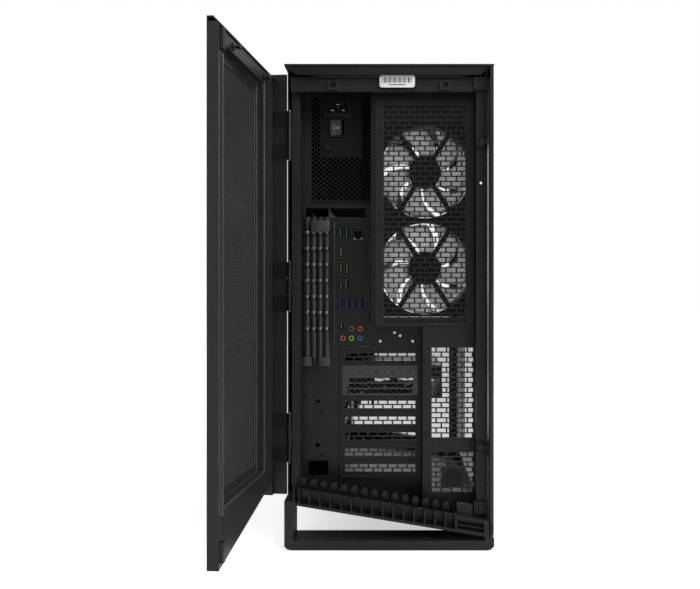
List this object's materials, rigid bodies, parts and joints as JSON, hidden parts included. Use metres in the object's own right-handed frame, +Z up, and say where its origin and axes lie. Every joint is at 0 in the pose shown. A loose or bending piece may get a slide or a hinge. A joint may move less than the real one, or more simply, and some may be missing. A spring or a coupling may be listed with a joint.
{
  "type": "desktop computer tower",
  "caption": "Tall desktop computer tower with glass side and front, a mesh rear cover hinged over a recessed connector bay, and a sloping floor on two feet.",
  "frame": {"origin": "middle of the rear foot's rubber strip, on the floor", "axes": "+Z up; the rear cover faces -Y; the glass side panel faces +X; the hinges are on the -X side"},
  "size_m": [0.3019, 0.7576, 0.58],
  "materials": {
    "powder_coat": "satin powder coat, near black",
    "inner_coat": "satin dark grey coat",
    "mesh_steel": "fine black steel mesh",
    "black_rubber": "matte",
    "black_plastic": "moulded black plastic",
    "rocker_plastic": "glossy dark grey plastic",
    "frosted_blades": "frosted pale plastic",
    "smoked_glass": "lightly tinted tempered glass",
    "hinge_steel": "bright steel",
    "black_steel": "black zinc steel",
    "anodised_metal": "dark anodised aluminium",
    "circuit_board": "black solder mask",
    "bracket_steel": "dark nickel steel",
    "hose_rubber": "sleeved black hose and leads"
  },
  "bodies": {
    "chassis": {"rear_foot": "powder_coat", "front_foot": "powder_coat", "foot_pads": "black_rubber", "floor_pan": "powder_coat", "cable_comb": "black_plastic", "rear_recess_panel": "powder_coat", "rear_raised_panel": "powder_coat", "fan_bracket": "powder_coat", "rear_top_channel": "powder_coat", "rear_side_channel": "powder_coat", "machine_screws": "black_steel", "panel_thumbscrews": "black_steel", "hinge_post": "powder_coat", "hinge_knuckles": "black_steel", "hinge_pins": "hinge_steel", "motherboard_tray": "powder_coat", "front_frame": "powder_coat", "roof_frame": "powder_coat", "front_glass": "smoked_glass", "front_trim": "black_plastic", "front_ports": "black_plastic", "rear_fan_frames": "black_plastic", "radiator_fan_frames": "black_plastic", "radiator": "anodised_metal", "pump_head": "black_plastic", "coolant_hoses": "hose_rubber", "psu_case": "black_steel", "psu_cover": "black_steel", "psu_sockets": "black_plastic", "motherboard": "circuit_board", "io_ports": "black_plastic", "board_heatsinks": "anodised_metal", "memory_modules": "anodised_metal", "graphics_card": "bracket_steel", "graphics_shroud": "black_plastic", "slot_covers": "black_steel", "cable_rack": "black_plastic", "power_cables": "hose_rubber"},
    "rear_cover": {"door_shell": "powder_coat", "door_mesh": "mesh_steel", "door_inner_frame": "inner_coat", "door_hinge_leaves": "black_steel", "door_catches": "black_plastic"},
    "glass_side": {"glass_side_panel": "smoked_glass"},
    "steel_side": {"steel_side_panel": "powder_coat", "side_vent_mesh": "mesh_steel"},
    "top_lid": {"top_cover": "powder_coat", "top_vent_mesh": "mesh_steel"},
    "upper_rear_rotor": {"rear_fan_rotor_upper": "frosted_blades"},
    "lower_rear_rotor": {"rear_fan_rotor_lower": "frosted_blades"},
    "low_radiator_rotor": {"radiator_fan_rotor_low": "frosted_blades"},
    "mid_radiator_rotor": {"radiator_fan_rotor_mid": "frosted_blades"},
    "top_radiator_rotor": {"radiator_fan_rotor_top": "frosted_blades"},
    "supply_rotor": {"psu_fan_rotor": "black_plastic"},
    "rear_graphics_rotor": {"graphics_fan_rotor_rear": "black_plastic"},
    "front_graphics_rotor": {"graphics_fan_rotor_front": "black_plastic"},
    "rocker": {"psu_rocker": "rocker_plastic"},
    "mode_key": {"psu_mode_button": "black_plastic"},
    "power_key": {"power_button": "black_plastic"},
    "reset_key": {"reset_button": "black_plastic"}
  },
  "joints": [
    {"name": "rear_cover_hinge", "type": "hinge", "parent": "chassis", "child": "rear_cover", "pos_m": [-0.1224, 0.0065, 0.3], "axis": [0, 0, 1], "range_deg": [-14.5, 95.5]},
    {"name": "glass_side_lift_off", "type": "slide", "parent": "chassis", "child": "glass_side", "axis": [1, 0, 0], "range_m": [0, 0.15]},
    {"name": "steel_side_lift_off", "type": "slide", "parent": "chassis", "child": "steel_side", "axis": [-1, 0, 0], "range_m": [0, 0.15]},
    {"name": "top_cover_lift_off", "type": "slide", "parent": "chassis", "child": "top_lid", "axis": [0, 0, 1], "range_m": [0, 0.12]},
    {"name": "upper_rear_fan_spin", "type": "hinge", "parent": "chassis", "child": "upper_rear_rotor", "pos_m": [0.044, 0.037, 0.4575], "axis": [0, 1, 0], "continuous": true},
    {"name": "lower_rear_fan_spin", "type": "hinge", "parent": "chassis", "child": "lower_rear_rotor", "pos_m": [0.044, 0.037, 0.3375], "axis": [0, 1, 0], "continuous": true},
    {"name": "low_radiator_fan_spin", "type": "hinge", "parent": "chassis", "child": "low_radiator_rotor", "pos_m": [-0.0375, 0.41, 0.187], "axis": [1, 0, 0], "continuous": true},
    {"name": "mid_radiator_fan_spin", "type": "hinge", "parent": "chassis", "child": "mid_radiator_rotor", "pos_m": [-0.0375, 0.41, 0.307], "axis": [1, 0, 0], "continuous": true},
    {"name": "top_radiator_fan_spin", "type": "hinge", "parent": "chassis", "child": "top_radiator_rotor", "pos_m": [-0.0375, 0.41, 0.427], "axis": [1, 0, 0], "continuous": true},
    {"name": "supply_fan_spin", "type": "hinge", "parent": "chassis", "child": "supply_rotor", "pos_m": [-0.092, 0.1412, 0.493], "axis": [1, 0, 0], "continuous": true},
    {"name": "rear_graphics_fan_spin", "type": "hinge", "parent": "chassis", "child": "rear_graphics_rotor", "pos_m": [0.006, 0.114, 0.178], "axis": [0, 0, 1], "continuous": true},
    {"name": "front_graphics_fan_spin", "type": "hinge", "parent": "chassis", "child": "front_graphics_rotor", "pos_m": [0.006, 0.209, 0.178], "axis": [0, 0, 1], "continuous": true},
    {"name": "supply_rocker_tilt", "type": "hinge", "parent": "chassis", "child": "rocker", "pos_m": [-0.0665, 0.0658, 0.5185], "axis": [0, 0, 1], "range_deg": [0, 20]},
    {"name": "supply_mode_press", "type": "slide", "parent": "chassis", "child": "mode_key", "axis": [0, 1, 0], "range_m": [0, 0.0025], "stiffness_N_per_m": 150},
    {"name": "power_press", "type": "slide", "parent": "chassis", "child": "power_key", "axis": [0, -1, 0], "range_m": [0, 0.0015], "stiffness_N_per_m": 150},
    {"name": "reset_press", "type": "slide", "parent": "chassis", "child": "reset_key", "axis": [0, -1, 0], "range_m": [0, 0.0015], "stiffness_N_per_m": 150}
  ]
}
